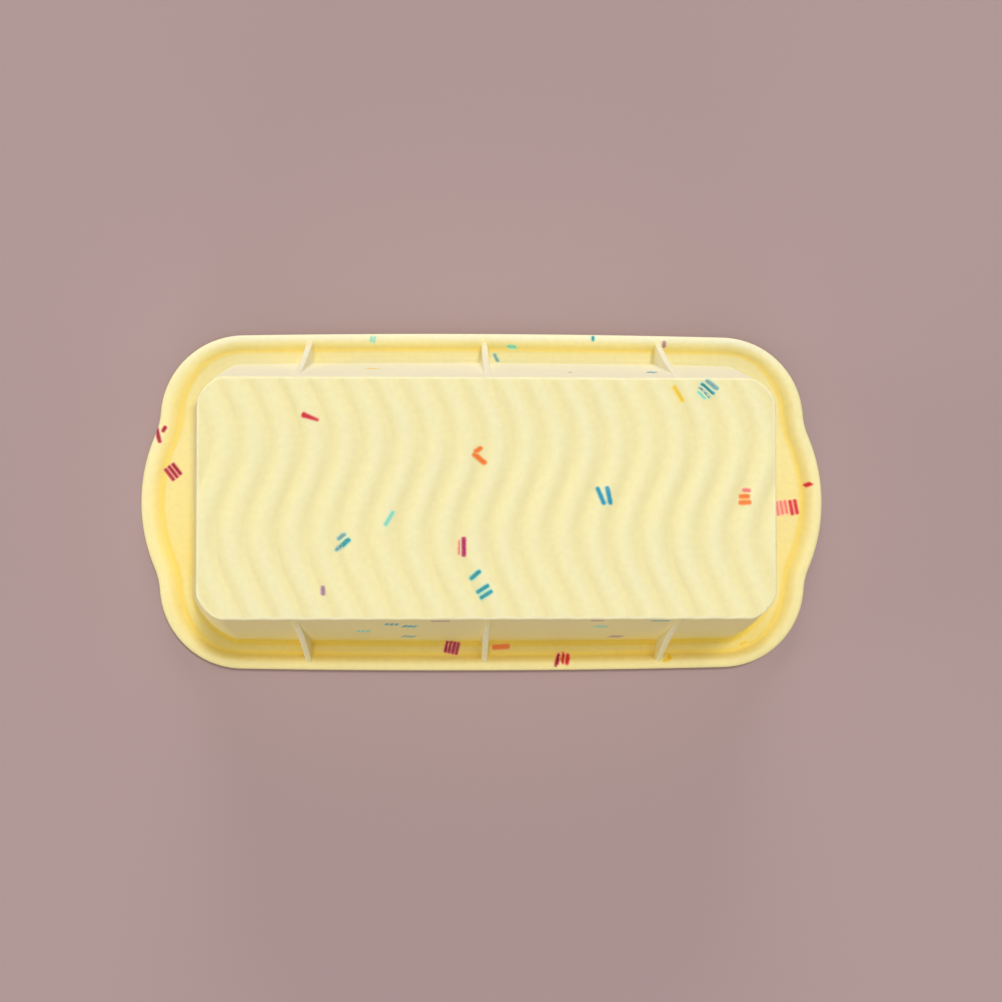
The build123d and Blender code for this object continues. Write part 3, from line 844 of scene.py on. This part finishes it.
def silicone(name, strong=None, pale=None):
    """Cast silicone, painted more saturated where its painted shade is greater, in place of real shade and
    bounced light. A chip gives its two colours too.
    """
    material, tree, shader, add = new_material(name)
    place = add("TexCoord").outputs["Object"]
    cloud = add("TexNoise", {"Vector": place, "Scale": 38.0, "Detail": 3.0, "Roughness": 0.55}).outputs["Fac"]
    grain = add("TexNoise", {"Vector": place, "Scale": 420.0, "Detail": 2.0, "Roughness": 0.6}).outputs["Fac"]
    painted_shade = add("Attribute", attribute_name="painted_shade").outputs["Fac"]
    uneven = calculate(add, "MULTIPLY_ADD", cloud, 0.12, -0.06)
    # painted shade: the attribute turns the silicone from cream on open faces to rich yellow in corners and
    # on the near side
    tint = add("ValToRGB", {"Fac": calculate(add, "ADD", painted_shade, uneven)})
    ramp(tint, [(0.0, CREAM), (0.15, PALE), (0.55, HALF_SHADE_YELLOW), (1.0, PAINTED_SHADE_YELLOW)])
    speckle = remap(add, grain, NOISE_RANGE, (0.975, 1.02))
    light = calculate(add, "MULTIPLY", speckle, remap(add, cloud, NOISE_RANGE, (0.98, 1.015)))
    scaled = add("VectorMath", {0: tint.outputs["Color"], "Scale": light}, operation="SCALE")
    colour = scaled.outputs[0]
    if strong:
        colour = chip_colouring(add, place, colour, strong, pale)
    tree.links.new(colour, shader.inputs["Base Color"])
    tree.links.new(remap(add, cloud, NOISE_RANGE, (0.46, 0.54)), shader.inputs["Roughness"])
    height = calculate(add, "ADD", grain, cloud)
    bump = add("Bump", {"Height": height, "Strength": 0.12, "Distance": 0.0004})
    tree.links.new(bump.outputs["Normal"], shader.inputs["Normal"])
    shader.inputs["Specular IOR Level"].default_value = 0.32
    shader.inputs["IOR"].default_value = 1.41
    return material


def drawn_steel():
    """Steel wire with a fine mottle."""
    material, tree, shader, add = new_material("drawn_steel")
    place = add("TexCoord").outputs["Object"]
    mottle = {"Vector": place, "Scale": 1500.0, "Detail": 4.0, "Roughness": 0.7}
    lines = add("TexNoise", mottle).outputs["Fac"]
    tint = add("ValToRGB", {"Fac": lines})
    ramp(tint, [(NOISE_RANGE[0], (0.36, 0.36, 0.38)), (NOISE_RANGE[1], (0.52, 0.52, 0.53))])
    tree.links.new(tint.outputs["Color"], shader.inputs["Base Color"])
    tree.links.new(remap(add, lines, NOISE_RANGE, (0.25, 0.42)), shader.inputs["Roughness"])
    shader.inputs["Metallic"].default_value = 1.0
    return material


# Light pale silicone on open faces, and richer yellow painted in as shade and as light bounced between its
# own faces
CREAM = linear(245, 239, 206)
PALE = linear(242, 231, 174)
HALF_SHADE_YELLOW = linear(239, 221, 147)
PAINTED_SHADE_YELLOW = linear(240, 208, 80)

CHIP_COLOURS = {
    "crimson": ((150, 20, 44), (226, 120, 124)),
    "red": ((205, 40, 50), (236, 120, 110)),
    "rose": ((236, 120, 110), (250, 176, 152)),
    "orange": ((240, 122, 45), (248, 172, 104)),
    "amber": ((240, 200, 52), (246, 222, 120)),
    "magenta": ((178, 42, 98), (226, 150, 150)),
    "mauve": ((168, 128, 148), (206, 176, 176)),
    "teal": ((48, 146, 152), (168, 226, 206)),
    "blue": ((40, 146, 176), (120, 190, 196)),
    "slate": ((116, 154, 156), (178, 218, 198)),
    "mint": ((138, 214, 188), (200, 234, 196)),
}


def dress(piece, material):
    piece.data.materials.clear()
    piece.data.materials.append(material)


dress(skin, silicone("yellow_silicone_skin"))
for colour_name, (strong, pale) in CHIP_COLOURS.items():
    inlays = chips_piece(colour_name + "_chips")
    dress(inlays, silicone(colour_name + "_inlay", linear(*strong), linear(*pale)))
dress(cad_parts["rim_wire"], drawn_steel())


# ---------------------------------------------------------------- camera, floor and light

CAMERA_PLACE = (-0.0145, -0.0134, 0.6)
CAMERA_TARGET = (0.0069, 0.0004, 0.0)
FLOOR_HALF = 3.0
FLOOR_COLOURS = (linear(173, 149, 148), linear(174, 150, 149))

camera_data = bpy.data.cameras.new("camera")
camera_data.lens = 53.0
camera_data.sensor_width = 36.0
camera = bpy.data.objects.new("camera", camera_data)
bpy.context.scene.collection.objects.link(camera)
back = (Vector(CAMERA_PLACE) - Vector(CAMERA_TARGET)).normalized()
right = Vector((0, 1, 0)).cross(back).normalized()
turned = Matrix((right, back.cross(right), back)).transposed().to_4x4()
camera.matrix_world = Matrix.Translation(CAMERA_PLACE) @ turned
bpy.context.scene.camera = camera

floor_mesh = bpy.data.meshes.new("floor")
floor_corners = [(x * FLOOR_HALF, y * FLOOR_HALF, 0) for x, y in ((-1, -1), (1, -1), (1, 1), (-1, 1))]
floor_mesh.from_pydata(floor_corners, [], [(0, 1, 2, 3)])
floor = bpy.data.objects.new("floor", floor_mesh)
bpy.context.scene.collection.objects.link(floor)


def backdrop():
    """A plain matt floor, very slightly clouded."""
    material, tree, shader, add = new_material("backdrop")
    place = add("TexCoord").outputs["Object"]
    cloud = add("TexNoise", {"Vector": place, "Scale": 2.0, "Detail": 2.0}).outputs["Fac"]
    tint = add("ValToRGB", {"Fac": cloud})
    ramp(tint, list(zip(NOISE_RANGE, FLOOR_COLOURS)))
    tree.links.new(tint.outputs["Color"], shader.inputs["Base Color"])
    shader.inputs["Roughness"].default_value = 0.9
    shader.inputs["Specular IOR Level"].default_value = 0.1
    return material


dress(floor, backdrop())

world = bpy.data.worlds.new("studio")
bpy.context.scene.world = world
world.use_nodes = True
world.node_tree.nodes["Background"].inputs["Color"].default_value = (1.0, 1.0, 1.0, 1)
world.node_tree.nodes["Background"].inputs["Strength"].default_value = 0.09

# Each soft light: the direction it comes from, how many degrees of the sky it fills, and its strength
SOFT_LIGHTS = {
    "key": ((0.14, 0.32, 1.0), 10, 1.2),
    "overhead": ((0.0, -0.1, 1.0), 60, 0.8),
    "near_overhead": ((0.0, -1.0, 1.4), 30, 0.4),
    "far_fill": ((0.0, 1.0, 0.2), 30, 1.75),
    "near_fill": ((0.0, -1.0, 0.2), 30, 0.68),
    "right_fill": ((1.0, 0.0, 0.4), 30, 0.2),
    "left_fill": ((-1.0, 0.0, 0.08), 30, 1.4),
}
for light_name, (towards, spread_degrees, strength) in SOFT_LIGHTS.items():
    lamp_data = bpy.data.lights.new(light_name, "SUN")
    lamp_data.angle = math.radians(spread_degrees)
    lamp_data.energy = strength
    lamp = bpy.data.objects.new(light_name, lamp_data)
    bpy.context.scene.collection.objects.link(lamp)
    lamp.location = towards
    lamp.rotation_euler = lamp.location.to_track_quat("Z", "Y").to_euler()
bpy.context.scene.view_settings.view_transform = "Standard"
